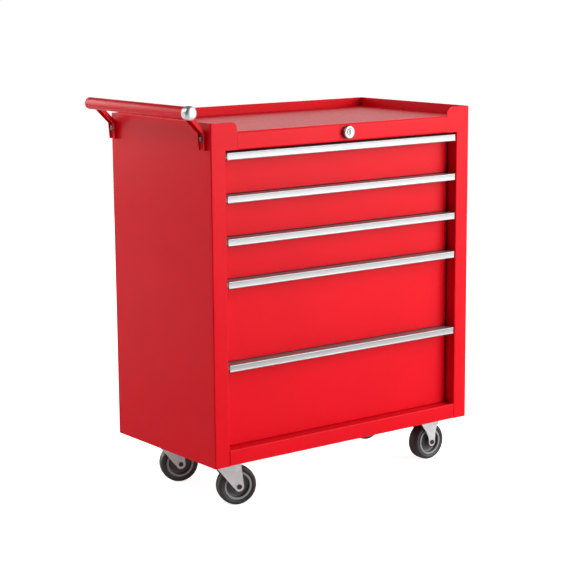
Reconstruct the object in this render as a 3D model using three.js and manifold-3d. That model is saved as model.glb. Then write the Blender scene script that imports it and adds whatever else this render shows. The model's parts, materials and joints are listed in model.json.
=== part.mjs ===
// Rolling tool cart: a folded sheet-steel cabinet with a recessed top, five drawers on side slides, a push
// handle across its left side, a key lock that drops a hooked bar behind the drawers, and four casters.
//
// Millimetres, +Z up. While the cart is built, X = 0 is the middle of the cabinet, Y = 0 its front face and
// Z = 0 the floor. The last step moves the cart so that the middle of its footprint is the origin.

import * as THREE from 'three';
import { mergeVertices } from 'three/addons/utils/BufferGeometryUtils.js';
import Module from 'manifold-3d';

const manifold = await Module();
manifold.setup();

// ---------------------------------------------------------------------------- driving dimensions

const sheet = 1.2;
const seam = 0.05;
const running = 0.3;
const foldRadius = 1.2;

const cabinetWidth = 615;
const cabinetDepth = 330;
const cabinetHeight = 625;
const casterHeight = 95;

const postWidth = 32.6;
const postLip = 12;
const earWidth = 57.3;
const earRadius = 13;
const rimDepth = 17;
const rimThickness = 3;
const rimOverlap = 2;
const rearFlange = 25;
const headerDrop = 49.6;
const headerShelf = 22;
const trayFlange = 10;
const topFoldRadius = 5;
const bottomRailHeight = 30;
const recess = 24;

const smallPitch = 77;
const largePitch = 153;
const drawerGap = 1.5;
const topGap = 4;
const bottomGap = 1;
const sideGap = 2.8;
const boxDepth = 280;
const boxFloorLift = 3;
const boxHeadroom = 16;
const frontReturn = 8;
const hemHeight = 4;
const hemWidth = 3.4;

const slideThickness = 12.7;
const slideHeight = 36;
const slideStart = 38;
const slideLength = 270;
const slideDepth = 9;

const pullHeight = 13.2;
const pullWall = 1.6;

const handleRadius = 11.2;
const handleStandoff = 41.4;
const handleHeight = 644.9;
const handleWall = 1.5;
const handleSegments = 24;
const handleFrontEnd = 10.5;
const handleRearEnd = 341;

const wheelRadius = 37.5;
const tyreWidth = 27;
const casterInsetFront = 68;
const swivelInset = 58;
const rigidInset = 46;
const casterTrail = 30;
const swivelAngles = { front: -16, back: -20 };

const boltRadius = 3;
const boltFlats = 10;

// ---------------------------------------------------------------------------- places worked out from them

const left = -cabinetWidth / 2;
const right = cabinetWidth / 2;
const base = casterHeight;
const top = base + cabinetHeight;
const trayTop = top - rimDepth;
const openingTop = top - headerDrop;
const openingBottom = base + bottomRailHeight;
const halfSheet = sheet / 2;
const openingHalf = cabinetWidth / 2 - postWidth;
const frontHalf = openingHalf - sideGap;
const boxHalf = openingHalf - slideThickness;
const backInside = cabinetDepth - 2 * sheet - seam;
const boltHoleRadius = boltRadius + running;

// ---------------------------------------------------------------------------- solids from three.js shapes

function volumeOf(positions, triangles) {
  const corner = (i) => new THREE.Vector3().fromArray(positions, 3 * triangles[i]);
  let sum = 0;
  for (let i = 0; i < triangles.length; i += 3) {
    sum += corner(i).dot(corner(i + 1).cross(corner(i + 2)));
  }
  return sum / 6;
}

function solid(geometry) {
  const bare = geometry.clone();
  bare.deleteAttribute('normal');
  bare.deleteAttribute('uv');
  const merged = mergeVertices(bare, 1e-3);
  const positions = merged.attributes.position.array;
  const triangles = [];
  for (let i = 0; i < merged.index.count; i += 3) {
    const [a, b, c] = [0, 1, 2].map((k) => merged.index.getX(i + k));
    if (a !== b && b !== c && c !== a) triangles.push(a, b, c);
  }
  if (volumeOf(positions, triangles) < 0) triangles.reverse();
  const triVerts = new Uint32Array(triangles);
  return new manifold.Manifold(new manifold.Mesh({ numProp: 3, vertProperties: positions, triVerts }));
}

function surface(body) {
  const { vertProperties, triVerts } = body.getMesh();
  const geometry = new THREE.BufferGeometry();
  geometry.setAttribute('position', new THREE.BufferAttribute(vertProperties, 3));
  geometry.setIndex(new THREE.BufferAttribute(triVerts, 1));
  geometry.computeVertexNormals();
  return geometry;
}

function joined(...bodies) {
  return bodies.reduce((whole, body) => whole.add(body));
}

function mirrored(body) {
  return solid(surface(body).scale(-1, 1, 1));
}

function block([x0, x1], [y0, y1], [z0, z1]) {
  const box = new THREE.BoxGeometry(x1 - x0, y1 - y0, z1 - z0);
  return solid(box.translate((x0 + x1) / 2, (y0 + y1) / 2, (z0 + z1) / 2));
}

// Extrudes an outline along one axis. Its two coordinates are (Y, Z) for x, (X, Z) for y and (X, Y) for z.
function extruded(outline, axis, from, to) {
  const shape = outline instanceof THREE.Shape ? outline : new THREE.Shape(outline);
  const depth = to - from;
  const geometry = new THREE.ExtrudeGeometry(shape, { depth, bevelEnabled: false, curveSegments: 4 });
  const [x, y, z] = [[1, 0, 0], [0, 1, 0], [0, 0, 1]].map((v) => new THREE.Vector3(...v));
  const turns = {
    x: new THREE.Matrix4().makeBasis(y, z, x).setPosition(from, 0, 0),
    y: new THREE.Matrix4().makeBasis(x, z, y.clone().negate()).setPosition(0, to, 0),
    z: new THREE.Matrix4().makeBasis(x, y, z).setPosition(0, 0, from),
  };
  return solid(geometry.applyMatrix4(turns[axis]));
}

function points(list) {
  return list.map(([u, v]) => new THREE.Vector2(u, v));
}

// The outline of a sheet bent along a path through the middle of its thickness.
function folded(path, thickness = sheet, insideRadius = foldRadius, steps = 3) {
  const corners = points(path);
  const middle = insideRadius + thickness / 2;
  const sides = [[], []];
  corners.forEach((corner, i) => {
    const before = i > 0 ? corner.clone().sub(corners[i - 1]).normalize() : null;
    const after = i < corners.length - 1 ? corners[i + 1].clone().sub(corner).normalize() : null;
    const along = before ?? after;
    if (!before || !after) {
      const normal = new THREE.Vector2(-along.y, along.x);
      sides[0].push(corner.clone().addScaledVector(normal, thickness / 2));
      sides[1].push(corner.clone().addScaledVector(normal, -thickness / 2));
      return;
    }
    const turn = Math.atan2(before.cross(after), before.dot(after));
    const start = corner.clone().addScaledVector(before, -middle * Math.tan(Math.abs(turn) / 2));
    const toCentre = new THREE.Vector2(-before.y, before.x).multiplyScalar(Math.sign(turn));
    const centre = start.clone().addScaledVector(toCentre, middle);
    for (let k = 0; k <= steps; k += 1) {
      const spoke = toCentre.clone().negate().rotateAround(new THREE.Vector2(), (turn * k) / steps);
      const offset = (Math.sign(turn) * thickness) / 2;
      sides[0].push(centre.clone().addScaledVector(spoke, middle - offset));
      sides[1].push(centre.clone().addScaledVector(spoke, middle + offset));
    }
  });
  return [...sides[0], ...sides[1].reverse()];
}

// A turned piece: the profile lists [radius, distance along the axis] and the axis is z, y or x.
function turned(profile, axis = 'z', segments = 24) {
  const geometry = new THREE.LatheGeometry(points(profile), segments);
  if (axis === 'z') geometry.rotateX(Math.PI / 2);
  if (axis === 'x') geometry.rotateZ(-Math.PI / 2);
  return solid(geometry);
}

function rod(radius, from, to, axis = 'z', segments = 20) {
  return turned([[0, from], [radius, from], [radius, to], [0, to]], axis, segments);
}

function hexagon(acrossFlats, from, to, axis) {
  return rod(acrossFlats / Math.sqrt(3), from, to, axis, 6);
}

// ---------------------------------------------------------------------------- finishes

const finishes = {
  paint: { color: 0xd6222b, roughness: 0.38, metalness: 0.1 },
  pull: { color: 0xc9ccd0, roughness: 0.3, metalness: 0.9 },
  chrome: { color: 0xe4e6e8, roughness: 0.12, metalness: 1 },
  zinc: { color: 0xb4b7ba, roughness: 0.35, metalness: 0.85 },
  tyre: { color: 0x1d1e20, roughness: 0.75, metalness: 0 },
  hub: { color: 0x4c4f53, roughness: 0.55, metalness: 0 },
};

function piece(name, body, finish) {
  const mesh = new THREE.Mesh(surface(body), new THREE.MeshStandardMaterial(finishes[finish]));
  mesh.name = name;
  return mesh;
}

function group(position, ...children) {
  const holder = new THREE.Group();
  holder.position.set(...position);
  holder.add(...children);
  return holder;
}

// ---------------------------------------------------------------------------- cabinet

// The left side panel, with X measured inwards from its outer face: a wall folded round to a hollow front
// post, a rear flange, a hemmed rim along the top and an ear that rises beside the tray.
function sidePanel() {
  const rear = cabinetDepth - halfSheet;
  const inner = postWidth - halfSheet;
  const lip = recess + sheet + running;
  const corner = [[rearFlange, rear], [halfSheet, rear], [halfSheet, halfSheet]];
  const post = [...corner, [inner, halfSheet], [inner, lip], [inner - postLip, lip]];
  const lower = extruded(folded(post), 'z', base, openingTop);
  const upper = extruded(folded([...corner, [postLip, halfSheet]]), 'z', openingTop, top);
  const ear = new THREE.Shape();
  ear.moveTo(postLip / 2, openingTop);
  ear.lineTo(earWidth, openingTop);
  ear.lineTo(earWidth, top - earRadius);
  ear.absarc(earWidth - earRadius, top - earRadius, earRadius, 0, Math.PI / 2, false);
  ear.lineTo(postLip / 2, top);
  const rimRun = [rimThickness, cabinetDepth - rimThickness];
  const rim = block([halfSheet, rimThickness], rimRun, [trayTop - rimOverlap, top]);
  return joined(lower, upper, extruded(ear, 'y', 0, sheet), rim);
}

// A flat panel with a hemmed rim along the top and two guides that hold the lock bar against it.
function backPanel() {
  const half = cabinetWidth / 2 - sheet - foldRadius - seam;
  const rimHalf = cabinetWidth / 2 - rimThickness - seam;
  const back = backInside + sheet;
  const panelTop = trayTop - rimOverlap - seam;
  const panel = block([-half, half], [backInside, back], [base, panelTop]);
  const rim = block([-rimHalf, rimHalf], [back - rimThickness, back], [panelTop - rimOverlap, top]);
  const reach = lockBarBack - lockBarThickness - guideWall - running;
  const cheekX = lockBarWidth / 2 + guideWall;
  const lipX = cheekX - guideWidth / 2;
  const guideHalf = (side, height) => {
    const around = (x, halfWidth) => [side * x - halfWidth, side * x + halfWidth];
    const tall = [height - guideWidth / 2, height + guideWidth / 2];
    const cheek = block(around(cheekX, guideWall / 2), [reach, backInside + halfSheet], tall);
    return joined(cheek, block(around(lipX, guideWidth / 2), [reach, reach + guideWall], tall));
  };
  const heights = [base + 90, openingTop - 40];
  return joined(panel, rim, ...heights.flatMap((z) => [guideHalf(-1, z), guideHalf(1, z)]));
}

// The tray floor, folded down at the front into the header that carries the lock.
function topPanel() {
  const half = cabinetWidth / 2 - rimThickness - seam;
  const headerHalf = cabinetWidth / 2 - earWidth - running;
  const shelfHalf = openingHalf - sheet;
  const shelfEnd = headerShelf - halfSheet;
  const floorFront = sheet + running;
  const floorBack = backInside + sheet - rimThickness - seam;
  const skinTop = trayTop - halfSheet;
  const skinFoot = openingTop + halfSheet;
  const lap = 40;
  const skin = [[lap, skinTop], [halfSheet, skinTop], [halfSheet, skinFoot + topFoldRadius]];
  const header = extruded(folded(skin, sheet, topFoldRadius - sheet, 5), 'x', -headerHalf, headerHalf);
  const hem = [
    [halfSheet, skinFoot + 2 * topFoldRadius], [halfSheet, skinFoot],
    [shelfEnd, skinFoot], [shelfEnd, skinFoot + trayFlange],
  ];
  const shelf = extruded(folded(hem), 'x', -headerHalf, headerHalf);
  const wingRun = [floorFront, shelfEnd - 2 * foldRadius];
  const wings = block([-shelfHalf, shelfHalf], wingRun, [openingTop, openingTop + sheet]);
  const floor = block([-half, half], [floorFront, floorBack], [trayTop - sheet, trayTop]);
  const flangeRun = [lap, floorBack - rearFlange];
  const flange = (x) => block([x - halfSheet, x + halfSheet], flangeRun, [trayTop - trayFlange, skinTop]);
  const flangeX = half - trayFlange / 2;
  const lockHole = rod(lockBarrelRadius + running, -sheet, 2 * sheet, 'y').translate([0, 0, lockHeight]);
  return joined(header, shelf, wings, floor, flange(-flangeX), flange(flangeX)).subtract(lockHole);
}

// The floor of the cabinet, folded up at the front into the bottom rail and back over its top.
function basePanel() {
  const railHalf = openingHalf - running;
  const half = cabinetWidth / 2 - sheet - seam;
  const floorFront = recess + 4;
  const railTop = openingBottom - halfSheet;
  const railLip = 12;
  const path = [
    [floorFront + railLip, base + halfSheet], [halfSheet, base + halfSheet], [halfSheet, railTop],
    [floorFront, railTop], [floorFront, railTop - railLip],
  ];
  const rail = extruded(folded(path), 'x', -railHalf, railHalf);
  const floor = block([-half, half], [floorFront, backInside - seam], [base, base + sheet]);
  return joined(rail, floor);
}

// ---------------------------------------------------------------------------- drawers

// Each drawer runs from the top of its pull down to just above the next pull. The lowest takes what is left.
const pullTops = [0, smallPitch, 2 * smallPitch, 3 * smallPitch, 3 * smallPitch + largePitch]
  .map((drop) => openingTop - topGap - drop);
const frontBottoms = [...pullTops.slice(1).map((z) => z + drawerGap), openingBottom + bottomGap];
const boxFloors = frontBottoms.map((z) => z + boxFloorLift);
const boxTops = [
  pullTops[0] - drawerGap - boxHeadroom / 2,
  ...boxFloors.slice(0, -1).map((z) => z - boxHeadroom),
];
const slideHeights = boxFloors.map((z, i) => (z + boxTops[i]) / 2);

// A drawer in its own frame: Y = 0 is its front skin and Z = 0 the bottom edge of that skin.
function drawerBox(frontHeight, boxTop) {
  const tray = (half, [y0, y1], [z0, z1]) => block([-half, half], [y0, y1], [z0, z1]);
  const front = tray(frontHalf, [0, frontReturn], [0, frontHeight]);
  const frontHollow = tray(frontHalf - sheet, [sheet, frontReturn + 1], [sheet, frontHeight - sheet]);
  const box = tray(boxHalf, [halfSheet, boxDepth], [boxFloorLift, boxTop]);
  const hemmed = tray(boxHalf - hemWidth, [sheet, boxDepth - sheet], [boxTop - hemHeight, boxTop + 1]);
  const inside = tray(boxHalf - sheet, [sheet, boxDepth - sheet], [boxFloorLift + sheet, boxTop - hemHeight]);
  return joined(front.subtract(frontHollow), box.subtract(hemmed).subtract(inside));
}

// The extruded finger pull: a channel as deep as the recess, clipped over the top of the drawer front.
function drawerPull() {
  const wall = pullWall / 2;
  const frontY = -recess + wall;
  const lipZ = -pullHeight + wall;
  const lipDepth = 4;
  const clipY = -seam - wall;
  const lip = [[frontY + lipDepth, lipZ], [frontY, lipZ]];
  const path = [...lip, [frontY, -wall], [clipY, -wall], [clipY, -pullHeight]];
  const channel = extruded(folded(path, pullWall, wall), 'x', -frontHalf, frontHalf);
  const cover = block([-frontHalf, frontHalf], [clipY - wall, frontReturn], [-pullWall, 0]);
  return joined(channel, cover);
}

// The member of a slide that is fixed to the left of a drawer box: a channel open towards the cabinet.
function drawerRail() {
  const inner = slideThickness - seam - halfSheet;
  const outer = inner - slideDepth + halfSheet;
  const half = slideHeight / 2 - 5.5;
  const path = [[outer, -half], [inner, -half], [inner, half], [outer, half]];
  return extruded(folded(path, sheet, foldRadius / 2, 1), 'y', 0, slideLength);
}

// The slide members fixed to the cabinet's left side, all carried by a front and a rear upright.
function slideRack() {
  const wallX = sheet + seam + halfSheet;
  const faceX = postWidth - halfSheet - sheet;
  const footing = 14;
  const landing = 20;
  const upright = (y) => {
    const path = [[wallX, y + footing], [wallX, y], [faceX, y], [faceX, y + landing]];
    return extruded(folded(path, sheet, foldRadius, 1), 'z', base + sheet + seam, trayTop - landing);
  };
  const memberX = postWidth - halfSheet;
  const half = slideHeight / 2 - halfSheet;
  const returned = half - 3.2;
  const channel = [
    [memberX + slideDepth, -returned], [memberX + slideDepth, -half], [memberX, -half],
    [memberX, half], [memberX + slideDepth, half], [memberX + slideDepth, returned],
  ];
  const memberRun = [slideStart, slideStart + slideLength];
  const member = (z) => extruded(folded(channel, sheet, foldRadius / 2, 1), 'y', ...memberRun)
    .translate([0, 0, z]);
  const rearUpright = slideStart + slideLength - footing - landing;
  return joined(upright(slideStart + sheet), upright(rearUpright), ...slideHeights.map(member));
}

function drawer(number) {
  const bottom = frontBottoms[number - 1];
  const pullSeat = pullTops[number - 1] - bottom;
  const frontHeight = pullSeat - pullWall - seam;
  const rail = drawerRail();
  const railX = left + postWidth;
  const railY = slideStart - recess;
  const railZ = slideHeights[number - 1] - bottom;
  const leftRail = piece(`drawer_${number}_rail_left`, rail, 'zinc');
  leftRail.position.set(railX, railY, railZ);
  const rightRail = piece(`drawer_${number}_rail_right`, mirrored(rail), 'zinc');
  rightRail.position.set(-railX, railY, railZ);
  const pull = piece(`drawer_${number}_pull`, drawerPull(), 'pull');
  pull.position.z = pullSeat;
  const box = piece(`drawer_${number}`, drawerBox(frontHeight, boxTops[number - 1] - bottom), 'paint');
  return group([0, recess, bottom], box, pull, leftRail, rightRail);
}

// ---------------------------------------------------------------------------- lock

const lockHeight = base + 592;
const lockBarrelRadius = 9;
const lockBarrelLength = 18;
const lockFaceRadius = 12.25;
const lockFaceReach = 8;
const plugRadius = 5.5;
const plugLength = 30;
const rodRadius = 3.5;
const crankPinRadius = 2;
const lockDrop = 8;
const crankArm = lockDrop / Math.SQRT2;
const crankPinAt = crankArm / Math.SQRT2;
const lockBarWidth = 26;
const lockBarThickness = 2;
const lockBarBack = backInside - 2;
const hookWidth = 16;
const hookSheet = 2;
const hookGap = 1.5;
const guideWall = 1.6;
const guideWidth = 10;

function lockCylinder() {
  const bore = plugRadius + running;
  const chamfer = 1.6;
  return turned([
    [bore, -lockFaceReach], [lockFaceRadius - chamfer, -lockFaceReach],
    [lockFaceRadius, -lockFaceReach + chamfer], [lockFaceRadius, -seam], [lockBarrelRadius, -seam],
    [lockBarrelRadius, lockBarrelLength], [bore, lockBarrelLength], [bore, -lockFaceReach],
  ], 'y');
}

function lockPlug() {
  const plug = rod(plugRadius, -lockFaceReach - 0.4, plugLength, 'y');
  const keySlot = block([-0.9, 0.9], [-lockFaceReach - 1, 4], [-3.6, 3.6]);
  return plug.subtract(keySlot);
}

// The rod behind the plug ends in a crank, whose pin lifts and lowers the lock bar.
function lockRod() {
  const end = lockBarBack - lockBarThickness - running;
  const web = 3;
  const shaft = rod(rodRadius, plugLength + seam, end - web, 'y', 16);
  const crank = rod(crankArm + crankPinRadius + 1, end - web, end, 'y');
  const pin = rod(crankPinRadius, end - web, lockBarBack + 1, 'y', 16);
  return joined(shaft, crank, pin.translate([crankPinAt, 0, crankPinAt]));
}

// The bar hangs on the crank pin. One hook for each drawer stands over the back wall of its box.
function lockBar() {
  const back = lockBarBack;
  const front = back - lockBarThickness;
  const strip = block([-lockBarWidth / 2, lockBarWidth / 2], [front, back], [base + 60, lockHeight + 14]);
  const slotHalf = crankPinRadius + running;
  const slot = block(
    [crankPinAt - slotHalf, crankArm + slotHalf],
    [front - 1, back + 1],
    [lockHeight + crankPinAt - slotHalf, lockHeight + crankPinAt + slotHalf],
  );
  const lipFace = recess + boxDepth - sheet - hookGap;
  const hook = (wallTop) => {
    const across = [-hookWidth / 2, hookWidth / 2];
    const arm = wallTop + lockDrop + hookGap;
    const reach = block(across, [lipFace - hookSheet, front + 1], [arm, arm + hookSheet]);
    return joined(reach, block(across, [lipFace - hookSheet, lipFace], [wallTop + hookGap, arm + 1]));
  };
  return joined(strip, ...boxTops.map(hook)).subtract(slot);
}

// ---------------------------------------------------------------------------- push handle

const handleX = left - handleStandoff;
const handleZ = base + handleHeight;
const bracketWidth = 19.5;
const bracketSheet = 2.2;
const bracketStarts = [13, 311];
const bracketFoot = base + 577;
const bracketBolt = base + 597;
const bracketShoulder = base + 609;
const bracketFootDepth = 4.5;
const bracketArmDepth = 6.9;
const capFront = -6;
const capWall = 1.5;
const capPlugEnd = 30;

// The tube is open at the front, where the cap plugs it, and closed by a rounded end at the back.
function handleTube() {
  const inner = handleRadius - handleWall;
  const round = 5;
  const profile = [[inner, handleFrontEnd], [handleRadius, handleFrontEnd]];
  for (let k = 0; k <= 3; k += 1) {
    const angle = (Math.PI / 6) * k;
    const [out, along] = [round * Math.cos(angle), round * Math.sin(angle)];
    profile.push([handleRadius - round + out, handleRearEnd - round + along]);
  }
  const inside = [[0, handleRearEnd - handleWall], [inner, handleRearEnd - round]];
  return turned([...profile, [0, handleRearEnd], ...inside, profile[0]], 'y', handleSegments);
}

function handleCap() {
  const radius = handleRadius + capWall;
  const dome = 6;
  const plug = handleRadius - handleWall - running;
  const skirt = handleFrontEnd - seam;
  const profile = [[0, capFront]];
  for (let k = 1; k <= 4; k += 1) {
    const angle = (Math.PI / 8) * k;
    profile.push([radius * Math.sin(angle), capFront + dome * (1 - Math.cos(angle))]);
  }
  profile.push([radius, skirt], [plug, skirt], [plug, capPlugEnd], [0, capPlugEnd]);
  return turned(profile, 'y', handleSegments);
}

// A bent channel with its web against the cabinet. X is 0 on the panel and falls towards the handle.
function handleBracket() {
  const reach = handleStandoff;
  const past = 5;
  const mitre = (depth) => depth * Math.tan(Math.PI / 8);
  const whole = extruded(points([
    [0, bracketFoot], [0, bracketShoulder], [-reach, bracketShoulder + reach],
    [-reach, bracketShoulder + reach - bracketArmDepth * Math.SQRT2],
    [-bracketArmDepth, bracketShoulder - mitre(bracketArmDepth)],
    [-bracketFootDepth, bracketFoot],
  ]), 'y', 0, bracketWidth);
  const hollow = extruded(points([
    [-bracketSheet, bracketFoot - past], [-bracketSheet, bracketShoulder - mitre(bracketSheet)],
    [-reach - past, bracketShoulder + reach + past - bracketSheet * Math.SQRT2],
    [-reach - past, bracketFoot - past],
  ]), 'y', bracketSheet, bracketWidth - bracketSheet);
  const run = [-past, bracketWidth + past];
  const tubeSpace = rod(handleRadius + running, ...run, 'y', handleSegments).translate([-reach, 0, handleZ]);
  const ends = block([-reach - past, -reach + 2], run, [handleZ - reach, handleZ + reach]);
  const boltHole = rod(boltHoleRadius, -past, past, 'x').translate([0, bracketWidth / 2, bracketBolt]);
  return whole.subtract(hollow).subtract(tubeSpace).subtract(ends).subtract(boltHole);
}

// A dome-headed bolt with its nut inside the cabinet. X is 0 on the outer face of the side panel.
function handleBolt() {
  const face = -bracketSheet - seam;
  const head = turned([[0, face], [6, face], [6, face - 1.4], [4.2, face - 3.4], [0, face - 4]], 'x', 20);
  const shank = rod(boltRadius, face - 1, 10, 'x', 16);
  return joined(head, shank, hexagon(boltFlats, sheet + seam, 7, 'x'));
}

// ---------------------------------------------------------------------------- casters

const plateThickness = 2.5;
const plateSize = [66, 84];
const plateCorner = 8;
const boltSpacing = [46, 64];
const boltHead = 4;
const raceDepth = 2.6;
const forkSheet = 2.2;
const forkHalf = 19.5;
const axleRadius = 3.2;
const hubRadius = 27;
const wheelSegments = 28;
const plateTop = casterHeight - seam;
const plateBottom = plateTop - plateThickness;
const crownTop = plateBottom - 7.5;
const kingpinRadius = 5;

function boltHeads(face) {
  const [x, y] = boltSpacing.map((spacing) => spacing / 2);
  const places = [[x, y], [-x, y], [x, -y], [-x, -y]];
  const head = hexagon(boltFlats, face - boltHead, face + halfSheet, 'z');
  return places.map(([u, v]) => head.translate([u, v, 0]));
}

function roundedPlate() {
  const shape = new THREE.Shape();
  const radius = plateCorner;
  const [x, y] = plateSize.map((side) => side / 2 - radius);
  shape.absarc(x, y, radius, 0, Math.PI / 2);
  shape.absarc(-x, y, radius, Math.PI / 2, Math.PI);
  shape.absarc(-x, -y, radius, Math.PI, 1.5 * Math.PI);
  shape.absarc(x, -y, radius, 1.5 * Math.PI, 2 * Math.PI);
  return extruded(shape, 'z', plateBottom, plateTop);
}

function swivelPlate() {
  const race = rod(24, plateBottom - raceDepth, plateBottom + halfSheet);
  const bore = rod(kingpinRadius + seam, plateBottom - plateThickness - raceDepth, casterHeight);
  return joined(roundedPlate(), race, ...boltHeads(plateBottom)).subtract(bore);
}

// Both cheeks of a fork from its outline, with the hole for the axle.
function forkCheeks(outline, trail) {
  const cheek = (inner) => extruded(outline, 'y', inner, inner + forkSheet);
  const cheeks = joined(cheek(forkHalf - forkSheet), cheek(-forkHalf));
  const axleHole = rod(axleRadius + running, -2 * forkHalf, 2 * forkHalf, 'y');
  return cheeks.subtract(axleHole.translate([trail, 0, wheelRadius]));
}

// The swivel fork leans back from its kingpin: straight edges narrow to a rounded end around the axle.
function swivelFork() {
  const endRadius = 9.2;
  const [crownFront, crownBack] = [-19, casterTrail + 3.5];
  const outline = new THREE.Shape();
  outline.moveTo(crownFront, crownTop);
  outline.absarc(casterTrail, wheelRadius, endRadius, 1.18 * Math.PI, 1.96 * Math.PI, false);
  outline.lineTo(crownBack, crownTop);
  const crown = block([crownFront, crownBack], [-forkHalf, forkHalf], [crownTop - forkSheet, crownTop]);
  const race = rod(22, crownTop - 1, plateBottom - raceDepth - running);
  const bore = rod(kingpinRadius + running, wheelRadius, casterHeight);
  return joined(forkCheeks(outline, casterTrail), crown, race).subtract(bore);
}

// The pin a swivel turns on, riveted over below the crown.
function kingpin() {
  const rivetTop = crownTop - forkSheet - running;
  const rivetFoot = rivetTop - 4;
  const shank = rod(kingpinRadius, rivetTop - 1, plateTop - halfSheet);
  const rivet = turned([[0, rivetFoot], [5, rivetFoot], [8, rivetFoot + 1.5], [8, rivetTop], [0, rivetTop]]);
  return joined(shank, rivet);
}

// The rigid fork flares in a curve from a narrow end around the axle to its crown under the plate.
function rigidFork() {
  const endRadius = 8;
  const neck = wheelRadius + 4;
  const flare = crownTop - 9;
  const [crownFront, crownBack] = [-27, 18];
  const outline = new THREE.Shape();
  outline.moveTo(crownFront, crownTop);
  outline.lineTo(crownFront, flare);
  outline.quadraticCurveTo(-10, neck + 16, -endRadius, neck);
  outline.absarc(0, wheelRadius, endRadius, Math.PI, 2 * Math.PI, false);
  outline.lineTo(endRadius, neck);
  outline.quadraticCurveTo(endRadius, neck + 24, crownBack, flare);
  outline.lineTo(crownBack, crownTop);
  const inner = forkHalf - forkSheet;
  const crown = [crownFront, crownBack];
  const saddle = block(crown, [-forkHalf, forkHalf], [crownTop - forkSheet, plateBottom + halfSheet]);
  const hollowX = [crownFront - 1, crownBack + 1];
  const hollow = block(hollowX, [-inner, inner], [wheelRadius, plateBottom - forkSheet]);
  return joined(forkCheeks(outline, 0), saddle.subtract(hollow), roundedPlate(), ...boltHeads(plateBottom));
}

// The tyre's cross-section is a band with rounded shoulders on the outside of the hub.
function tyre() {
  const half = tyreWidth / 2;
  const shoulder = 6;
  const profile = [[hubRadius + running, -half + 1]];
  for (let k = 0; k <= 2; k += 1) {
    const angle = (Math.PI / 4) * k;
    const [out, across] = [shoulder * Math.sin(angle), shoulder * Math.cos(angle)];
    profile.push([wheelRadius - shoulder + out, -half + shoulder - across]);
  }
  const otherSide = profile.map(([radius, side]) => [radius, -side]).reverse();
  return turned([...profile, ...otherSide, profile[0]], 'y', wheelSegments);
}

// The hub: a boss round the axle, a thin web and a raised ring under the tyre.
function hub() {
  const ringHalf = tyreWidth / 2 - 1.5;
  const bossHalf = forkHalf - forkSheet - 1;
  const bore = axleRadius + running;
  const half = [[bore, bossHalf], [10, bossHalf], [11, 7], [20.5, 7], [22, ringHalf], [hubRadius, ringHalf]];
  const otherSide = half.map(([radius, side]) => [radius, -side]).reverse();
  return turned([...half, ...otherSide, half[0]], 'y', wheelSegments);
}

// A rivet through the fork and the hub, with a low chamfered head at each end.
function axle() {
  const headRadius = 4.7;
  const headHeight = 2.2;
  const face = forkHalf + seam;
  const half = [
    [axleRadius, face], [headRadius, face], [headRadius, face + headHeight / 2],
    [headRadius - headHeight / 2, face + headHeight], [0, face + headHeight],
  ];
  const otherEnd = half.map(([radius, along]) => [radius, -along]).reverse();
  return turned([...otherEnd, ...half], 'y', 20);
}

function wheelAt(name, trail) {
  const parts = [
    piece(`${name}_tyre`, tyre(), 'tyre'),
    piece(`${name}_hub`, hub(), 'hub'),
    piece(`${name}_axle`, axle(), 'zinc'),
  ];
  return group([trail, 0, wheelRadius], ...parts);
}

function swivelCaster(end, y) {
  const name = `caster_${end}_left`;
  const swung = group([0, 0, 0], piece(`${name}_fork`, swivelFork(), 'zinc'), wheelAt(name, casterTrail));
  swung.rotation.z = THREE.MathUtils.degToRad(swivelAngles[end]);
  const fixed = [piece(`${name}_plate`, swivelPlate(), 'zinc'), piece(`${name}_kingpin`, kingpin(), 'zinc')];
  return group([left + swivelInset, y, 0], ...fixed, swung);
}

function rigidCaster(end, y) {
  const name = `caster_${end}_right`;
  return group([right - rigidInset, y, 0], piece(`${name}_fork`, rigidFork(), 'zinc'), wheelAt(name, 0));
}

// ---------------------------------------------------------------------------- the whole cart

// Two copies of a body made for the left side: one in place and one mirrored to the right.
function pair(name, body, rightBody, finish) {
  const leftPiece = piece(`left_${name}`, body, finish);
  leftPiece.position.x = left;
  const rightPiece = piece(`right_${name}`, mirrored(rightBody), finish);
  rightPiece.position.x = right;
  return [leftPiece, rightPiece];
}

function cabinet() {
  const panel = sidePanel();
  const rack = slideRack();
  const boltHoles = bracketStarts.map((y) => (
    rod(boltHoleRadius, -sheet, 2 * sheet, 'x').translate([0, y + bracketWidth / 2, bracketBolt])
  ));
  return [
    ...pair('side_panel', panel.subtract(joined(...boltHoles)), panel, 'paint'),
    ...pair('slide_rack', rack, rack, 'zinc'),
    piece('back_panel', backPanel(), 'paint'),
    piece('top_panel', topPanel(), 'paint'),
    piece('base_panel', basePanel(), 'paint'),
  ];
}

function lock() {
  const turning = [piece('lock_plug', lockPlug(), 'chrome'), piece('lock_rod', lockRod(), 'zinc')];
  const still = piece('lock_cylinder', lockCylinder(), 'chrome');
  return [group([0, 0, lockHeight], still, ...turning), piece('lock_bar', lockBar(), 'zinc')];
}

function handle() {
  const tube = piece('handle_tube', handleTube(), 'paint');
  const cap = piece('handle_cap', handleCap(), 'chrome');
  const ends = ['front', 'rear'].map((end, i) => group(
    [left - seam, bracketStarts[i], 0],
    piece(`handle_bracket_${end}`, handleBracket(), 'paint'),
    piece(`handle_bolt_${end}`, handleBolt().translate([0, bracketWidth / 2, bracketBolt]), 'zinc'),
  ));
  return [group([handleX, 0, handleZ], tube, cap), ...ends];
}

function casters() {
  const front = casterInsetFront;
  const back = cabinetDepth - casterInsetFront;
  return [
    swivelCaster('front', front), swivelCaster('back', back),
    rigidCaster('front', front), rigidCaster('back', back),
  ];
}

const drawers = pullTops.map((_, i) => drawer(i + 1));
const cart = group([0, 0, 0], ...cabinet(), ...drawers, ...lock(), ...handle(), ...casters());
const extent = new THREE.Box3().setFromObject(cart, true);
const middle = extent.getCenter(new THREE.Vector3());
cart.position.set(-middle.x, -middle.y, -extent.min.z);

export default cart;
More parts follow.
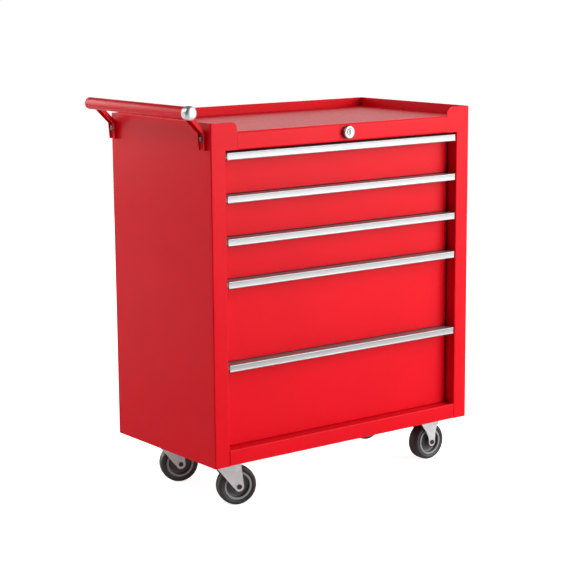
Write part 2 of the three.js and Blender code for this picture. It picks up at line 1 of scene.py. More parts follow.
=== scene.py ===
# The looks of a rolling tool cart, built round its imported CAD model.
# Metres, +Z up, drawer fronts towards -Y and the push handle at -X. Sizes below are in millimetres.

import json
import math

import bmesh
import bpy
from mathutils import Matrix, Vector


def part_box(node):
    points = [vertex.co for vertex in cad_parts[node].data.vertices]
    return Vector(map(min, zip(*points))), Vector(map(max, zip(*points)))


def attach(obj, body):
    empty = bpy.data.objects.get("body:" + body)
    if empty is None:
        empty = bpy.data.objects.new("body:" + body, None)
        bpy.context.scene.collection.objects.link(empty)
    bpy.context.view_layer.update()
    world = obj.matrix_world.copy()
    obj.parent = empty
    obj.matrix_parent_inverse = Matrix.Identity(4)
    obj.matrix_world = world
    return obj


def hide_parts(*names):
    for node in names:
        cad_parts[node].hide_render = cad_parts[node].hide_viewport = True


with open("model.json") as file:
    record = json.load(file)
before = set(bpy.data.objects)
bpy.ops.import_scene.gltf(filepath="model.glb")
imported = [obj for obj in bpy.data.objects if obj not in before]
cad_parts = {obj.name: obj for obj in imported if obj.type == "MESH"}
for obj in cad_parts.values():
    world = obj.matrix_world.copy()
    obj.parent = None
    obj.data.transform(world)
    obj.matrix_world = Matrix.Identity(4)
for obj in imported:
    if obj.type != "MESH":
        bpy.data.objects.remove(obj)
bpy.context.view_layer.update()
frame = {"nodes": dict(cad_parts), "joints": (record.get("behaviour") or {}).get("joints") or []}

MM = 0.001
DRAWERS = range(1, 6)
ENDS = ("front", "back")
WELD_GAP = 0.004
MERGE_GAP = 0.002
joints = {joint["name"]: joint for joint in frame["joints"]}


# ---------------------------------------------------------------------------- materials

class Finish:
    """A material with one Principled shader and short ways to feed it."""

    def __init__(self, name, base, rough, metallic=0.0):
        self.material = bpy.data.materials.new(name)
        self.material.use_nodes = True
        self.tree = self.material.node_tree
        self.shader = self.tree.nodes["Principled BSDF"]
        self.set("Base Color", (*base, 1))
        self.set("Roughness", rough)
        self.set("Metallic", metallic)
        self.place = self.tree.nodes.new("ShaderNodeTexCoord").outputs["Object"]

    def set(self, socket, value):
        self.shader.inputs[socket].default_value = value

    def link(self, source, target):
        self.tree.links.new(source, target)

    def stretched(self, scale):
        """Object coordinates scaled by a different amount along each axis."""
        mapping = self.tree.nodes.new("ShaderNodeMapping")
        mapping.inputs["Scale"].default_value = scale
        self.link(self.place, mapping.inputs["Vector"])
        return mapping.outputs["Vector"]

    def noise(self, scale, detail=2.0, rough=0.5, place=None):
        node = self.tree.nodes.new("ShaderNodeTexNoise")
        node.inputs["Scale"].default_value = scale
        node.inputs["Detail"].default_value = detail
        node.inputs["Roughness"].default_value = rough
        self.link(place or self.place, node.inputs["Vector"])
        return node.outputs["Fac"]

    def span(self, source, low, high, start=0.3, end=0.7):
        """Maps a texture's start..end onto low..high."""
        node = self.tree.nodes.new("ShaderNodeMapRange")
        node.inputs["From Min"].default_value = start
        node.inputs["From Max"].default_value = end
        node.inputs["To Min"].default_value = low
        node.inputs["To Max"].default_value = high
        self.link(source, node.inputs["Value"])
        return node.outputs["Result"]

    def colours(self, source, low, high, start=0.3, end=0.7):
        """Blends the base colour between two colours by a texture."""
        ramp = self.tree.nodes.new("ShaderNodeValToRGB")
        ramp.color_ramp.elements[0].position = start
        ramp.color_ramp.elements[1].position = end
        ramp.color_ramp.elements[0].color = (*low, 1)
        ramp.color_ramp.elements[1].color = (*high, 1)
        self.link(source, ramp.inputs["Fac"])
        self.link(ramp.outputs["Color"], self.shader.inputs["Base Color"])

    def roughness(self, source, low, high, start=0.3, end=0.7):
        self.link(self.span(source, low, high, start, end), self.shader.inputs["Roughness"])

    def bump(self, source, strength, depth):
        node = self.tree.nodes.new("ShaderNodeBump")
        node.inputs["Strength"].default_value = strength
        node.inputs["Distance"].default_value = depth * MM
        self.link(source, node.inputs["Height"])
        self.link(node.outputs["Normal"], self.shader.inputs["Normal"])


def tint(colour, factor):
    return tuple(channel * factor for channel in colour)


def paint_finish():
    """Satin powder coat: an even red with a fine orange-peel texture."""
    red = (0.62, 0.0015, 0.009)
    finish = Finish("red_paint", red, 0.38)
    finish.set("Specular IOR Level", 0.08)
    finish.colours(finish.noise(9, 3), tint(red, 0.97), tint(red, 1.03))
    finish.roughness(finish.noise(160, 2), 0.35, 0.41)
    finish.bump(finish.noise(750, 1), 0.12, 0.06)
    return finish.material


def pull_finish():
    """Anodised aluminium with fine draw lines along the length of the extrusion."""
    grey = (0.29, 0.293, 0.296)
    finish = Finish("pull_metal", grey, 0.42, 0.65)
    lines = finish.noise(1, 3, 0.6, finish.stretched((6, 2600, 2600)))
    finish.colours(lines, tint(grey, 0.95), tint(grey, 1.03))
    finish.roughness(lines, 0.38, 0.48)
    finish.bump(lines, 0.12, 0.03)
    return finish.material


def chrome_finish(name, grey, rough):
    """Satin plating with the faintest cloudiness in its polish."""
    finish = Finish(name, grey, rough, 1.0)
    cloud = finish.noise(220, 2)
    finish.colours(cloud, tint(grey, 0.96), tint(grey, 1.02))
    finish.roughness(cloud, rough - 0.04, rough + 0.05)
    return finish.material


def zinc_finish(name, grey, rough):
    """Zinc plate: softly mottled, with a fine rolled grain."""
    finish = Finish(name, grey, rough, 0.85)
    cloud = finish.noise(130, 3, 0.6)
    finish.colours(cloud, tint(grey, 0.88), tint(grey, 1.08))
    finish.roughness(finish.noise(320, 2), rough - 0.07, rough + 0.08)
    finish.bump(finish.noise(1400, 2), 0.15, 0.04)
    return finish.material


def rubber_finish():
    """Black rubber with grey scuffing and a moulded grain."""
    finish = Finish("tyre_rubber", (0.02, 0.02, 0.021), 0.6)
    scuffs = finish.noise(140, 5, 0.7)
    finish.colours(scuffs, (0.009, 0.009, 0.0095), (0.02, 0.02, 0.021), 0.35, 0.75)
    finish.roughness(scuffs, 0.45, 0.65)
    finish.bump(finish.noise(1200, 2), 0.25, 0.08)
    return finish.material


def plastic_finish(name, grey, rough):
    """Moulded nylon with a light satin grain."""
    finish = Finish(name, grey, rough)
    finish.colours(finish.noise(90, 3), tint(grey, 0.92), tint(grey, 1.08))
    finish.roughness(finish.noise(260, 2), rough - 0.06, rough + 0.06)
    finish.bump(finish.noise(1600, 1), 0.1, 0.04)
    return finish.material


paint = paint_finish()
pull_metal = pull_finish()
lock_chrome = chrome_finish("lock_chrome", (0.3, 0.3, 0.305), 0.34)
keyway = zinc_finish("keyway_shadow", (0.02, 0.02, 0.02), 0.5)
cap_chrome = chrome_finish("cap_chrome", (0.68, 0.69, 0.7), 0.4)
zinc = zinc_finish("zinc_plate", (0.56, 0.57, 0.58), 0.36)
dark_zinc = zinc_finish("dark_zinc_plate", (0.05, 0.048, 0.048), 0.36)
caster_zinc = zinc_finish("caster_zinc", (0.56, 0.57, 0.58), 0.42)
rubber = rubber_finish()
hub_grey = plastic_finish("hub_plastic", (0.05, 0.051, 0.053), 0.42)
ring_grey = plastic_finish("hub_ring_plastic", (0.24, 0.24, 0.245), 0.4)


# ---------------------------------------------------------------------------- shaping tools

def smooth_by_angle(mesh, degrees):
    """Smooth shading that breaks where two faces meet at more than an angle."""
    bm = bmesh.new()
    bm.from_mesh(mesh)
    for face in bm.faces:
        face.smooth = True
    limit = math.radians(degrees)
    for edge in bm.edges:
        edge.smooth = len(edge.link_faces) == 2 and edge.calc_face_angle(0) < limit
    bm.to_mesh(mesh)
    bm.free()


def rounded_edges(obj, width, angle=50, weld=False):
    """Rounds an object's sharp edges and keeps its flat faces flat in the shading."""
    if weld:
        merge = obj.modifiers.new("weld", "WELD")
        merge.merge_threshold = WELD_GAP * MM
    bevel = obj.modifiers.new("rounding", "BEVEL")
    bevel.width = width * MM
    bevel.segments = 2
    bevel.limit_method = "ANGLE"
    bevel.angle_limit = math.radians(angle)
    bevel.miter_outer = "MITER_ARC"
    normals = obj.modifiers.new("flat_faces", "WEIGHTED_NORMAL")
    normals.mode = "FACE_AREA"
    normals.weight = 50


def finished(name, bm, material, body, nodes=(), place=None, angle=35):
    """Makes one piece of the object from a bmesh in metres, riding on a CAD body."""
    bmesh.ops.remove_doubles(bm, verts=bm.verts, dist=MERGE_GAP * MM)
    bmesh.ops.recalc_face_normals(bm, faces=bm.faces)
    if place:
        bm.transform(place)
    mesh = bpy.data.meshes.new(name)
    bm.to_mesh(mesh)
    bm.free()
    smooth_by_angle(mesh, angle)
    mesh.materials.append(material)
    obj = bpy.data.objects.new(name, mesh)
    bpy.context.scene.collection.objects.link(obj)
    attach(obj, body)
    if nodes:
        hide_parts(*nodes)
    return obj


def arc(centre, radius, start, end, steps):
    """Points on a circle from one angle to another, in degrees."""
    angles = [math.radians(start + (end - start) * k / steps) for k in range(steps + 1)]
    return [(centre[0] + radius * math.cos(a), centre[1] + radius * math.sin(a)) for a in angles]


def add_turned(bm, profile, segments=64, axis="Y", centre=(0, 0, 0)):
    """Turns a profile of (radius, distance along the axis) points. A radius of 0 closes an end."""
    rings = []
    for radius, along in profile:
        if radius < 1e-6:
            rings.append([bm.verts.new(Vector((0, along, 0)) * MM)])
            continue
        ring = []
        for k in range(segments):
            a = 2 * math.pi * k / segments
            ring.append(bm.verts.new(Vector((radius * math.cos(a), along, radius * math.sin(a))) * MM))
        rings.append(ring)
    new = [v for ring in rings for v in ring]
    for low, high in zip(rings, rings[1:]):
        for k in range(segments):
            n = (k + 1) % segments
            corners = [low[k % len(low)], low[n % len(low)], high[n % len(high)], high[k % len(high)]]
            unique = list(dict.fromkeys(corners))
            if len(unique) > 2:
                bm.faces.new(unique)
    turn = {
        "X": Matrix.Rotation(-math.pi / 2, 4, "Z"),
        "Y": Matrix(),
        "Z": Matrix.Rotation(math.pi / 2, 4, "X"),
    }[axis]
    move = Matrix.Translation(Vector(centre) * MM) @ turn
    bmesh.ops.transform(bm, matrix=move, verts=new)


def add_prism(bm, outline, start, end, axis="Y"):
    """Extrudes a closed outline: (X, Z) points along Y, (Y, Z) points along X or (X, Y) points along Z."""
    order = {
        "Y": lambda u, v, w: (u, w, v),
        "X": lambda u, v, w: (w, u, v),
        "Z": lambda u, v, w: (u, v, w),
    }[axis]
    ends = [[bm.verts.new(Vector(order(u, v, w)) * MM) for u, v in outline] for w in (start, end)]
    count = len(outline)
    for k in range(count):
        n = (k + 1) % count
        bm.faces.new((ends[0][k], ends[0][n], ends[1][n], ends[1][k]))
    caps = [bm.faces.new(ends[0]), bm.faces.new(list(reversed(ends[1])))]
    # Without their normals first, the caps of a hollow outline are filled across its hollow.
    for cap in caps:
        cap.normal_update()
    bmesh.ops.triangulate(bm, faces=caps)


def add_hexagon(bm, flats, start, end, place=Matrix()):
    """A hexagon head along Z whose far end has the usual turned chamfer."""
    step = 10
    count = 360 // step

    def ring(height, reach):
        verts = []
        for k in range(count):
            a = math.radians(step * k)
            to_flat = math.cos(math.radians((step * k + 30) % 60 - 30))
            radius = min(flats / 2 / to_flat, reach)
            spot = Vector((radius * math.cos(a), radius * math.sin(a), height)) * MM
            verts.append(bm.verts.new(place @ spot))
        return verts

    chamfer = math.copysign(0.08 * flats, end - start)
    rings = [ring(start, flats), ring(end - chamfer, flats), ring(end, flats / 2)]
    for low, high in zip(rings, rings[1:]):
        for k in range(count):
            n = (k + 1) % count
            bm.faces.new((low[k], low[n], high[n], high[k]))
    bm.faces.new(rings[0])
    bm.faces.new(rings[-1])


# ---------------------------------------------------------------------------- sheet metal from the CAD

def dress(node, material, width):
    """Gives a CAD node its finish and rounds its cut edges."""
    obj = frame["nodes"][node]
    obj.data.materials.clear()
    obj.data.materials.append(material)
    for face in obj.data.polygons:
        face.use_smooth = True
        face.material_index = 0
    if "custom_normal" in obj.data.attributes:
        obj.data.attributes.remove(obj.data.attributes["custom_normal"])
    rounded_edges(obj, width, 40, weld=True)


def dress_sheet_metal():
    for node in ("left_side_panel", "right_side_panel", "back_panel", "top_panel", "base_panel"):
        dress(node, paint, 0.45)
    for number in DRAWERS:
        dress(f"drawer_{number}", paint, 0.5)
        for side in ("left", "right"):
            dress(f"drawer_{number}_rail_{side}", zinc, 0.25)
    for node in ("left_slide_rack", "right_slide_rack", "lock_bar", "lock_rod"):
        dress(node, zinc, 0.25)
    for end in ("front", "rear"):
        dress(f"handle_bracket_{end}", paint, 0.4)
    for end in ENDS:
        dress(f"caster_{end}_left_kingpin", caster_zinc, 0.4)


def back_rivets():
    """Domed rivets that hold the back panel to the side panels' rear flanges and to the floor."""
    low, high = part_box("back_panel")
    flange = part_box("left_side_panel")[1].y
    edge, pitch, radius, rise, buried = 12, 95, 4.2, 1.6, 0.3
    dome = [(radius * math.cos(a), rise * math.sin(a)) for a in (math.radians(15 * k) for k in range(6))]
    profile = [(0, -buried), (radius, -buried), *dome, (0, rise)]
    width, height = (high.x - low.x) / MM, (high.z - low.z) / MM
    climb = height - 5 * edge
    rows = round(height / pitch)
    columns = round(width / pitch)
    proud = (flange - high.y) / MM
    sides = [(x, proud, edge + climb * k / rows) for x in (edge, width - edge) for k in range(rows + 1)]
    foot = [(edge + (width - 2 * edge) * k / columns, 0, edge) for k in range(1, columns)]
    bm = bmesh.new()
    for x, y, z in sides + foot:
        add_turned(bm, profile, 24, "Y", (x, y, z))
    place = Matrix.Translation((low.x, high.y, low.z))
    finished("back_panel_rivets", bm, zinc, "cabinet", (), place, 60)


# ---------------------------------------------------------------------------- drawer pulls

def pull_outline():
    """The section of the extrusion in (Y, Z): 0, 0 is its top front corner, Y runs back and Z up."""
    depth, height, wall, bead = 24, 13.2, 1.6, 1.5
    band, ramp, sunk = 0.6, 0.7, 0.45
    lip_reach, fillet, seat, play = 4.8, 0.4, 8, 0.05
    foot, sill = -height, -height + wall
    top_bead = arc((bead, -bead), bead, 90, 180, 6)
    face = [
        (0, -bead - band), (sunk, -bead - band - ramp),
        (sunk, foot + bead + band + ramp), (0, foot + bead + band),
    ]
    low_bead = arc((bead, foot + bead), bead, 180, 270, 6)
    lip = [(lip_reach, foot), (lip_reach, sill), (wall + fillet, sill)]
    inside = [(wall, sill + fillet), (wall, -wall - fillet), (wall + fillet, -wall)]
    clip_back, clip_foot = depth - play, foot + 2 * play
    clip_front = clip_back - wall
    clip = [
        (clip_front, -wall), (clip_front, clip_foot), (clip_back, clip_foot),
        (clip_back, -wall), (depth + seat, -wall), (depth + seat, 0),
    ]
    return top_bead + face + low_bead + lip + inside + clip


def drawer_pull(number):
    low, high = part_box(f"drawer_{number}_pull")
    bm = bmesh.new()
    add_prism(bm, pull_outline(), low.x / MM, high.x / MM, "X")
    place = Matrix.Translation((0, low.y, high.z))
    obj = finished(
        f"drawer_{number}_pull_extrusion", bm, pull_metal, f"drawer_{number}_body",
        [f"drawer_{number}_pull"], place,
    )
    rounded_edges(obj, 0.25)


# ---------------------------------------------------------------------------- lock

def lock_face():
    """The turned cylinder: a flange with a rounded rim and a shallow dish round the plug."""
    low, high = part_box("lock_cylinder")
    centre = (low + high) / 2
    reach = (high.x - low.x) / 2 / MM
    depth = (high.y - low.y) / MM
    bore, barrel, flange, rim_round = 5.8, 9, 8, 2.2
    rim = arc((reach - rim_round, rim_round), rim_round, 0, -90, 8)
    dish = [(8.4, 0), (7.6, 0.35), (6.4, 0.35), (bore, 0.8)]
    profile = [
        (bore, depth), (barrel, depth), (barrel, flange), (reach, flange - 0.05), *rim, *dish, (bore, depth),
    ]
    bm = bmesh.new()
    add_turned(bm, profile, 72)
    place = Matrix.Translation((centre.x, low.y, centre.z))
    finished("lock_cylinder_face", bm, lock_chrome, "cabinet", ["lock_cylinder"], place)


def lock_plug():
    """The plug with its key slot, which turns inside the cylinder."""
    low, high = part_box("lock_plug")
    centre = (low + high) / 2
    radius = (high.x - low.x) / 2 / MM
    depth = (high.y - low.y) / MM
    slot_depth = 7
    half_width, half_height = 1.6, 4.1
    edge = 0.5
    steps = 48
    bright, dark = 0, 1
    angles = [2 * math.pi * k / steps for k in range(steps)]
    rings = []
    for r, y in ((radius - edge, 0), (radius, edge), (radius, depth)):
        rings.append([(r * math.cos(a), y, r * math.sin(a)) for a in angles])

    def slot_ring(y):
        ring = []
        for a in angles:
            scale = 1 / max(abs(math.cos(a)) / half_width, abs(math.sin(a)) / half_height)
            ring.append((scale * math.cos(a), y, scale * math.sin(a)))
        return ring

    rings = [slot_ring(slot_depth), slot_ring(0)] + rings
    bm = bmesh.new()
    verts = [[bm.verts.new(Vector(spot) * MM) for spot in ring] for ring in rings]
    for low_ring, high_ring in zip(verts, verts[1:]):
        for k in range(steps):
            n = (k + 1) % steps
            face = bm.faces.new((low_ring[k], low_ring[n], high_ring[n], high_ring[k]))
            # The slot's walls and floor take the near-black keyway_shadow finish: painted shade inside the
            # key slot.
            face.material_index = dark if low_ring is verts[0] else bright
    bm.faces.new(verts[0]).material_index = dark
    bm.faces.new(list(reversed(verts[-1])))
    place = Matrix.Translation((centre.x, low.y, centre.z))
    obj = finished(
        "lock_plug_turned", bm, lock_chrome, "lock_turn_body", ["lock_plug"], place,
    )
    obj.data.materials.append(keyway)


# ---------------------------------------------------------------------------- push handle

def handle_tube():
    low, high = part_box("handle_tube")
    centre = (low + high) / 2
    radius = (high.x - low.x) / 2 / MM
    length = (high.y - low.y) / MM
    wall, round_end = 1.5, 5
    end = arc((radius - round_end, length - round_end), round_end, 0, 90, 10)
    profile = [(radius - wall, 1), (radius - wall, 0), (radius, 0), *end, (0, length)]
    inside = [(0, length - wall), (radius - wall, length - round_end)]
    bm = bmesh.new()
    add_turned(bm, profile + inside + [(radius - wall, 1)], 96)
    place = Matrix.Translation((centre.x, low.y, centre.z))
    finished("handle_tube_round", bm, paint, "cabinet", ["handle_tube"], place)


def handle_cap():
    """A plated cap whose domed nose runs smoothly into a straight skirt over the end of the tube."""
    low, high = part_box("handle_cap")
    centre = (low + high) / 2
    radius = (high.x - low.x) / 2 / MM
    skirt, dome, edge = 16.4, 6.5, 0.5
    socket, mouth = 11.25, skirt - 2
    plug, plug_end = 9.4, 36
    nose = [
        (radius * math.sin(math.radians(a)), dome * (1 - math.cos(math.radians(a))))
        for a in range(0, 91, 6)
    ]
    profile = nose + [(radius, skirt - edge), (radius - edge, skirt), (socket, skirt), (socket, mouth)]
    profile += [(plug, mouth), (plug, plug_end), (0, plug_end)]
    bm = bmesh.new()
    add_turned(bm, profile, 96)
    place = Matrix.Translation((centre.x, low.y, centre.z))
    finished("handle_cap_dome", bm, cap_chrome, "cabinet", ["handle_cap"], place)


def handle_bolt(end):
    """A hexagon bolt with its washer on the bracket and its nut inside the cabinet."""
    low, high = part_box(f"handle_bolt_{end}")
    centre = (low + high) / 2
    stack, washer, washer_radius, head_top, head_flats = 4, 1.2, 6, 3.9, 9
    shank, point, nut_start, nut_end, nut_flats = 3, 0.6, 8.75, 3, 10
    face = (low.x - centre.x) / MM + stack
    inner = (high.x - centre.x) / MM
    seat = face - washer
    bm = bmesh.new()
    ring = [(0, seat), (washer_radius - 0.1, seat), (washer_radius, seat + 0.2), (washer_radius, face)]
    add_turned(bm, ring + [(0, face)], 40, "X")
    along_x = Matrix.Rotation(math.pi / 2, 4, "Y")
    add_hexagon(bm, head_flats, seat, face - head_top, along_x)
    rod = [(0, face), (shank, face), (shank, inner - point), (shank - point, inner), (0, inner)]
    add_turned(bm, rod, 24, "X")
    add_hexagon(bm, nut_flats, inner - nut_start, inner - nut_end, along_x)
    node = f"handle_bolt_{end}"
    place = Matrix.Translation(centre)
    finished(f"{node}_hexagon", bm, dark_zinc, "cabinet", [node], place, 25)


# ---------------------------------------------------------------------------- casters

WHEEL_RADIUS = 37.5
TYRE_HALF = 13.5
HUB_RADIUS = 27
FORK_HALF = 19.5
FORK_SHEET = 2.2
CROWN = 47.45
TRAIL = 30


def caster_place(side, end):
    """The matrix from a caster's own frame, with its wheel centre at 0 and its axle along Y, to the row."""
    joint = joints[f"wheel_{end}_{side}_spin"]
    axle = Vector(joint["axis"]).normalized()
    up = Vector((0, 0, 1))
    turn = Matrix((axle.cross(up), axle, up)).transposed().to_4x4()
    return Matrix.Translation(joint["pos_m"]) @ turn


def wheel_tyre(side, end, place):
    """A rubber band with a slightly crowned tread, round shoulders and a bead against the hub."""
    half = [(HUB_RADIUS + 0.2, 0), (HUB_RADIUS + 0.2, 11.2), (HUB_RADIUS + 0.7, 12.2), (28.9, 12.7)]
    half += [(29.6, 12.75), (30.4, 13.2), (31.6, TYRE_HALF)]
    half += [
        (31.8 + 5.2 * math.sin(a), 8.3 + 5.2 * math.cos(a))
        for a in (math.radians(12 * k) for k in range(1, 7))
    ]
    half += [(WHEEL_RADIUS - 0.12, 6), (WHEEL_RADIUS, 3), (WHEEL_RADIUS, 0.5), (WHEEL_RADIUS - 0.2, 0)]
    other = [(radius, -across) for radius, across in reversed(half[1:-1])]
    bm = bmesh.new()
    add_turned(bm, half + other + [half[0]], 112)
    node = f"caster_{end}_{side}_tyre"
    finished(f"{node}_rubber", bm, rubber, f"wheel_{end}_{side}", [node], place)


def wheel_hub(side, end, place):
    """The moulded hub: a dished web between a boss round the axle and a wall under the tyre."""
    half = [(3.6, 16.2), (7.6, 16.2), (8.4, 15.4), (9, 9), (10.5, 7.2), (14, 6.2), (19.5, 5.4), (21.6, 6.4)]
    half += [(22.8, 9.4), (23.4, 11), (HUB_RADIUS, 11), (HUB_RADIUS, 0)]
    other = [(radius, -across) for radius, across in reversed(half[:-1])]
    bm = bmesh.new()
    add_turned(bm, half + other + [half[0]], 96)
    node = f"caster_{end}_{side}_hub"
    finished(f"{node}_moulding", bm, hub_grey, f"wheel_{end}_{side}", [node], place)
    section = [(22.9, 10.9), (22.7, 12), (23.4, 12.8), (26.3, 12.9), (26.8, 12.4), (26.9, 10.9)]
    for name, sign in (("outer", -1), ("inner", 1)):
        ring = f"caster_{end}_{side}_{name}_ring"
        bm = bmesh.new()
        add_turned(bm, [(radius, sign * across) for radius, across in section + [section[0]]], 96)
        finished(ring, bm, ring_grey, f"wheel_{end}_{side}", (), place)


def wheel_axle(side, end, place, body):
    """The axle: a rivet with a low dished head at each end."""
    head, face = 4.7, FORK_HALF + 0.05
    half = [
        (3.2, 0), (3.2, face), (head, face), (head, face + 1.3), (head - 0.7, face + 2.1),
        (2.6, face + 2.1), (1.9, face + 1.1), (0, face + 1),
    ]
    other = [(radius, -along) for radius, along in reversed(half[1:])]
    bm = bmesh.new()
    add_turned(bm, other + half[1:], 40)
    node = f"caster_{end}_{side}_axle"
    finished(f"{node}_rivet", bm, dark_zinc, body, [node], place)


def at_height(edge, height):
    """The X of an edge, given as (X, Z) points of rising Z, at one height."""
    for (x0, z0), (x1, z1) in zip(edge, edge[1:]):
        if height <= z1:
            return x0 + (x1 - x0) * (height - z0) / (z1 - z0)
    return edge[-1][0]


def curve(start, control, end, steps=8):
    """Points on a quadratic curve."""
    points = []
    for k in range(steps + 1):
        t = k / steps
        points.append(tuple(
            (1 - t) ** 2 * a + 2 * t * (1 - t) * b + t ** 2 * c for a, b, c in zip(start, control, end)
        ))
    return points


def add_fork_sheet(bm, front_edge, back_edge, bend):
    """One pressed sheet: down one cheek, over the crown and down the other, cut to the two edges."""
    foot = front_edge[0][1]
    rounds = [foot + 9 * (1 - math.cos(math.radians(a))) for a in (12, 24, 36, 48, 60, 75, 90)]
    straight_top = CROWN - bend
    rises = [rounds[-1] + (straight_top - rounds[-1]) * k / 12 for k in range(1, 13)]
    path = [(-FORK_HALF, z) for z in [foot + 0.03, *rounds, *rises]]
    path += arc((-FORK_HALF + bend, straight_top), bend, 180, 90, 6)[1:]
    path += [(-y, z) for y, z in reversed(path)]
    columns = 10
    rows = []
    for y, z in path:
        low, high = at_height(front_edge, min(z, CROWN)), at_height(back_edge, min(z, CROWN))
        spots = [low + (high - low) * k / columns for k in range(columns + 1)]
        rows.append([bm.verts.new(Vector((x, y, z)) * MM) for x in spots])
    for lower, upper in zip(rows, rows[1:]):
        for k in range(columns):
            bm.faces.new((lower[k], lower[k + 1], upper[k + 1], upper[k]))


def sheet_piece(obj):
    """Gives a single surface its sheet thickness, inwards, and rounds the cut edge."""
    thick = obj.modifiers.new("thickness", "SOLIDIFY")
    thick.thickness = FORK_SHEET * MM
    thick.offset = -1
    thick.use_even_offset = True
    rounded_edges(obj, 0.5)


def swivel_fork(end, place):
    radius = 9.2
    front_edge = arc((0, 0), radius, 269, 212, 8) + [(-TRAIL - 19, CROWN)]
    back_edge = arc((0, 0), radius, 271, 353, 10) + [(3.5, CROWN)]
    bm = bmesh.new()
    add_fork_sheet(bm, front_edge, back_edge, 4)
    node = f"caster_{end}_left_fork"
    body = f"swivel_{end}_left"
    sheet_piece(finished(f"{node}_pressing", bm, caster_zinc, body, [node], place, 40))
    race = [(5.4, CROWN - 0.1), (5.4, CROWN + 2.2), (14, CROWN + 2.2), (16, CROWN + 4.5), (21, CROWN + 4.5)]
    race += arc((21, CROWN + 3.5), 1, 90, 0, 3) + [(22, CROWN + 1), (20.6, CROWN - 0.1), (5.4, CROWN - 0.1)]
    bm = bmesh.new()
    add_turned(bm, race, 56, "Z", (-TRAIL, 0, 0))
    finished(f"caster_{end}_left_lower_race", bm, caster_zinc, body, (), place)


def rigid_fork(end, place):
    radius, neck, flare = 8, 4, CROWN - 9
    front_edge = arc((0, 0), radius, 269, 180, 8)
    front_edge += curve((-radius, neck), (-10, neck + 16), (-27, flare)) + [(-27, CROWN)]
    back_edge = arc((0, 0), radius, 271, 360, 8)
    back_edge += curve((radius, neck), (radius, neck + 24), (18, flare)) + [(18, CROWN)]
    bm = bmesh.new()
    add_fork_sheet(bm, front_edge, back_edge, 3)
    node = f"caster_{end}_right_fork"
    sheet_piece(finished(f"{node}_pressing", bm, caster_zinc, "cabinet", [node], place, 40))


def caster_plate(side, end, place):
    """The top plate with rounded corners, its four bolts and, on a swivel, the upper raceway."""
    top, sheet, corner = 57.45, 2.5, 8
    half_x, half_y = 33 - corner, 42 - corner
    outline = arc((half_x, half_y), corner, 0, 90, 8) + arc((-half_x, half_y), corner, 90, 180, 8)
    outline += arc((-half_x, -half_y), corner, 180, 270, 8) + arc((half_x, -half_y), corner, 270, 360, 8)
    under = top - sheet
    bolt_x, bolt_y, bolt_flats, bolt_foot = 23, 32, 10, 4.2
    washer, washer_radius = 1, 8
    seat = under - washer
    ring = [(0, seat), (washer_radius, seat), (washer_radius, under), (0, under)]
    bm = bmesh.new()
    add_prism(bm, outline, under, top, "Z")
    for x in (-bolt_x, bolt_x):
        for y in (-bolt_y, bolt_y):
            add_turned(bm, ring, 32, "Z", (x, y, 0))
            spot = Matrix.Translation(Vector((x, y, 0)) * MM)
            add_hexagon(bm, bolt_flats, seat, under - bolt_foot, spot)
    if side == "left":
        low = under - 2.6
        race = [(5.4, under), (5.4, low), (19, low), (23, low), (24, low + 1), (24, under)]
        add_turned(bm, race + [(5.4, under)], 56, "Z")
        yaw = -math.atan2(place[1][0], place[0][0])
        local = Matrix.Translation((-TRAIL * MM, 0, 0)) @ Matrix.Rotation(yaw, 4, "Z")
        nodes = [f"caster_{end}_left_plate"]
    else:
        local = Matrix()
        nodes = []
    name = f"caster_{end}_{side}_top_plate"
    obj = finished(name, bm, caster_zinc, "cabinet", nodes, place @ local, 30)
    rounded_edges(obj, 0.35)


def casters():
    for end in ENDS:
        for side in ("left", "right"):
            place = caster_place(side, end)
            wheel_tyre(side, end, place)
            wheel_hub(side, end, place)
            wheel_axle(side, end, place, f"swivel_{end}_left" if side == "left" else "cabinet")
            caster_plate(side, end, place)
            if side == "left":
                swivel_fork(end, place)
            else:
                rigid_fork(end, place)


# ---------------------------------------------------------------------------- studio

FLOOR_LIFT = 0.8
SURROUND = 0.06
SOFTBOXES = {
    "key": (45, 30, 3.2, 2.4, 1.8, 74),
    "key_low": (35, 8, 3.2, 2.4, 1.2, 78),
    "left_low": (-95, 1, 3.2, 2.4, 0.7, 10),
    "left_high": (-105, 45, 3.2, 1.8, 1.4, 34),
    "rear_left": (-164, 14, 3.2, 1.2, 1.6, 76),
    "backdrop": (143, 10, 3.6, 3.4, 2.0, 29),
}


def floor():
    """A pale floor that runs to the horizon. The camera sees it brighter than the lights make it."""
    reach, fade_start, fade_end = 60, 0.9, 4.0
    square = ((-reach, -reach), (reach, -reach), (reach, reach), (-reach, reach))
    bm = bmesh.new()
    bm.faces.new([bm.verts.new((x, y, 0)) for x, y in square])
    mesh = bpy.data.meshes.new("floor")
    bm.to_mesh(mesh)
    bm.free()
    obj = bpy.data.objects.new("floor", mesh)
    bpy.context.scene.collection.objects.link(obj)
    finish = Finish("floor_white", (0.86, 0.86, 0.86), 0.9)
    finish.set("Specular IOR Level", 0.0)
    distance = finish.tree.nodes.new("ShaderNodeVectorMath")
    distance.operation = "LENGTH"
    finish.link(finish.place, distance.inputs[0])
    lift = finish.span(distance.outputs["Value"], FLOOR_LIFT, 1.0, fade_start, fade_end)
    seen = finish.tree.nodes.new("ShaderNodeMath")
    seen.operation = "MULTIPLY"
    finish.link(lift, seen.inputs[0])
    finish.link(finish.tree.nodes.new("ShaderNodeLightPath").outputs["Is Camera Ray"], seen.inputs[1])
    finish.set("Emission Color", (1, 1, 1, 1))
    finish.link(seen.outputs[0], finish.shader.inputs["Emission Strength"])
    mesh.materials.append(finish.material)


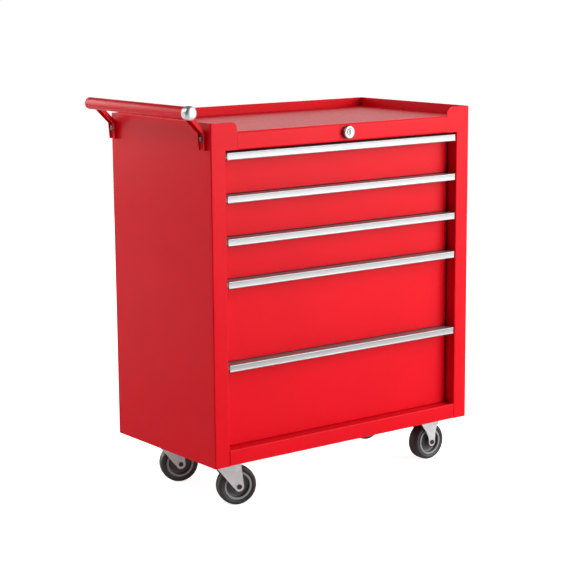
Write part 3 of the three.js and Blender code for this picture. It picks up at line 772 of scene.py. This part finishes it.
def surround(strength):
    """An even white surround: full white to the camera and dimmer as a light."""
    world = bpy.data.worlds.new("surround")
    bpy.context.scene.world = world
    world.use_nodes = True
    tree = world.node_tree
    background = tree.nodes["Background"]
    background.inputs["Color"].default_value = (1, 1, 1, 1)
    sight = tree.nodes.new("ShaderNodeLightPath").outputs["Is Camera Ray"]
    blend = tree.nodes.new("ShaderNodeMix")
    blend.data_type = "FLOAT"
    blend.inputs[2].default_value = strength
    blend.inputs[3].default_value = 1.0
    tree.links.new(sight, blend.inputs[0])
    tree.links.new(blend.outputs[0], background.inputs["Strength"])


def softbox(name, azimuth, elevation, distance, width, height, power):
    """A soft rectangular light aimed at the cart. Azimuth 0 is in front and 90 is to the right."""
    light = bpy.data.lights.new(name, "AREA")
    light.shape = "RECTANGLE"
    light.size, light.size_y = width, height
    light.energy = power
    obj = bpy.data.objects.new(name, light)
    bpy.context.scene.collection.objects.link(obj)
    a, e = math.radians(azimuth), math.radians(elevation)
    aim = Vector((0, 0, 0.4))
    away = Vector((math.sin(a) * math.cos(e), -math.cos(a) * math.cos(e), math.sin(e)))
    obj.location = aim + distance * away
    obj.rotation_mode = "QUATERNION"
    obj.rotation_quaternion = away.to_track_quat("Z", "Y")


def camera():
    """A long lens from the front left, a little above the top of the cart."""
    azimuth, elevation, roll = math.radians(-37.2), math.radians(10.36), math.radians(-0.42)
    level = math.cos(elevation)
    back = Vector((math.sin(azimuth) * level, -math.cos(azimuth) * level, math.sin(elevation)))
    right = Vector((math.cos(azimuth), math.sin(azimuth), 0))
    up = back.cross(right)
    tilted_right = math.cos(roll) * right + math.sin(roll) * up
    tilted_up = math.cos(roll) * up - math.sin(roll) * right
    data = bpy.data.cameras.new("camera")
    data.sensor_width = 36
    data.lens = 106.75
    data.clip_end = 200
    obj = bpy.data.objects.new("camera", data)
    bpy.context.scene.collection.objects.link(obj)
    turn = Matrix((tilted_right, tilted_up, back)).transposed().to_4x4()
    obj.matrix_world = Matrix.Translation((-1.9754, -2.6195, 0.9726)) @ turn
    bpy.context.scene.camera = obj


def studio():
    bpy.context.scene.view_settings.view_transform = "Standard"
    floor()
    surround(SURROUND)
    for name, (azimuth, elevation, distance, width, height, power) in SOFTBOXES.items():
        softbox(name, azimuth, elevation, distance, width, height, power)
    camera()


# ---------------------------------------------------------------------------- the whole picture

dress_sheet_metal()
back_rivets()
for drawer_number in DRAWERS:
    drawer_pull(drawer_number)
lock_face()
lock_plug()
handle_tube()
handle_cap()
for bracket_end in ("front", "rear"):
    handle_bolt(bracket_end)
casters()
studio()
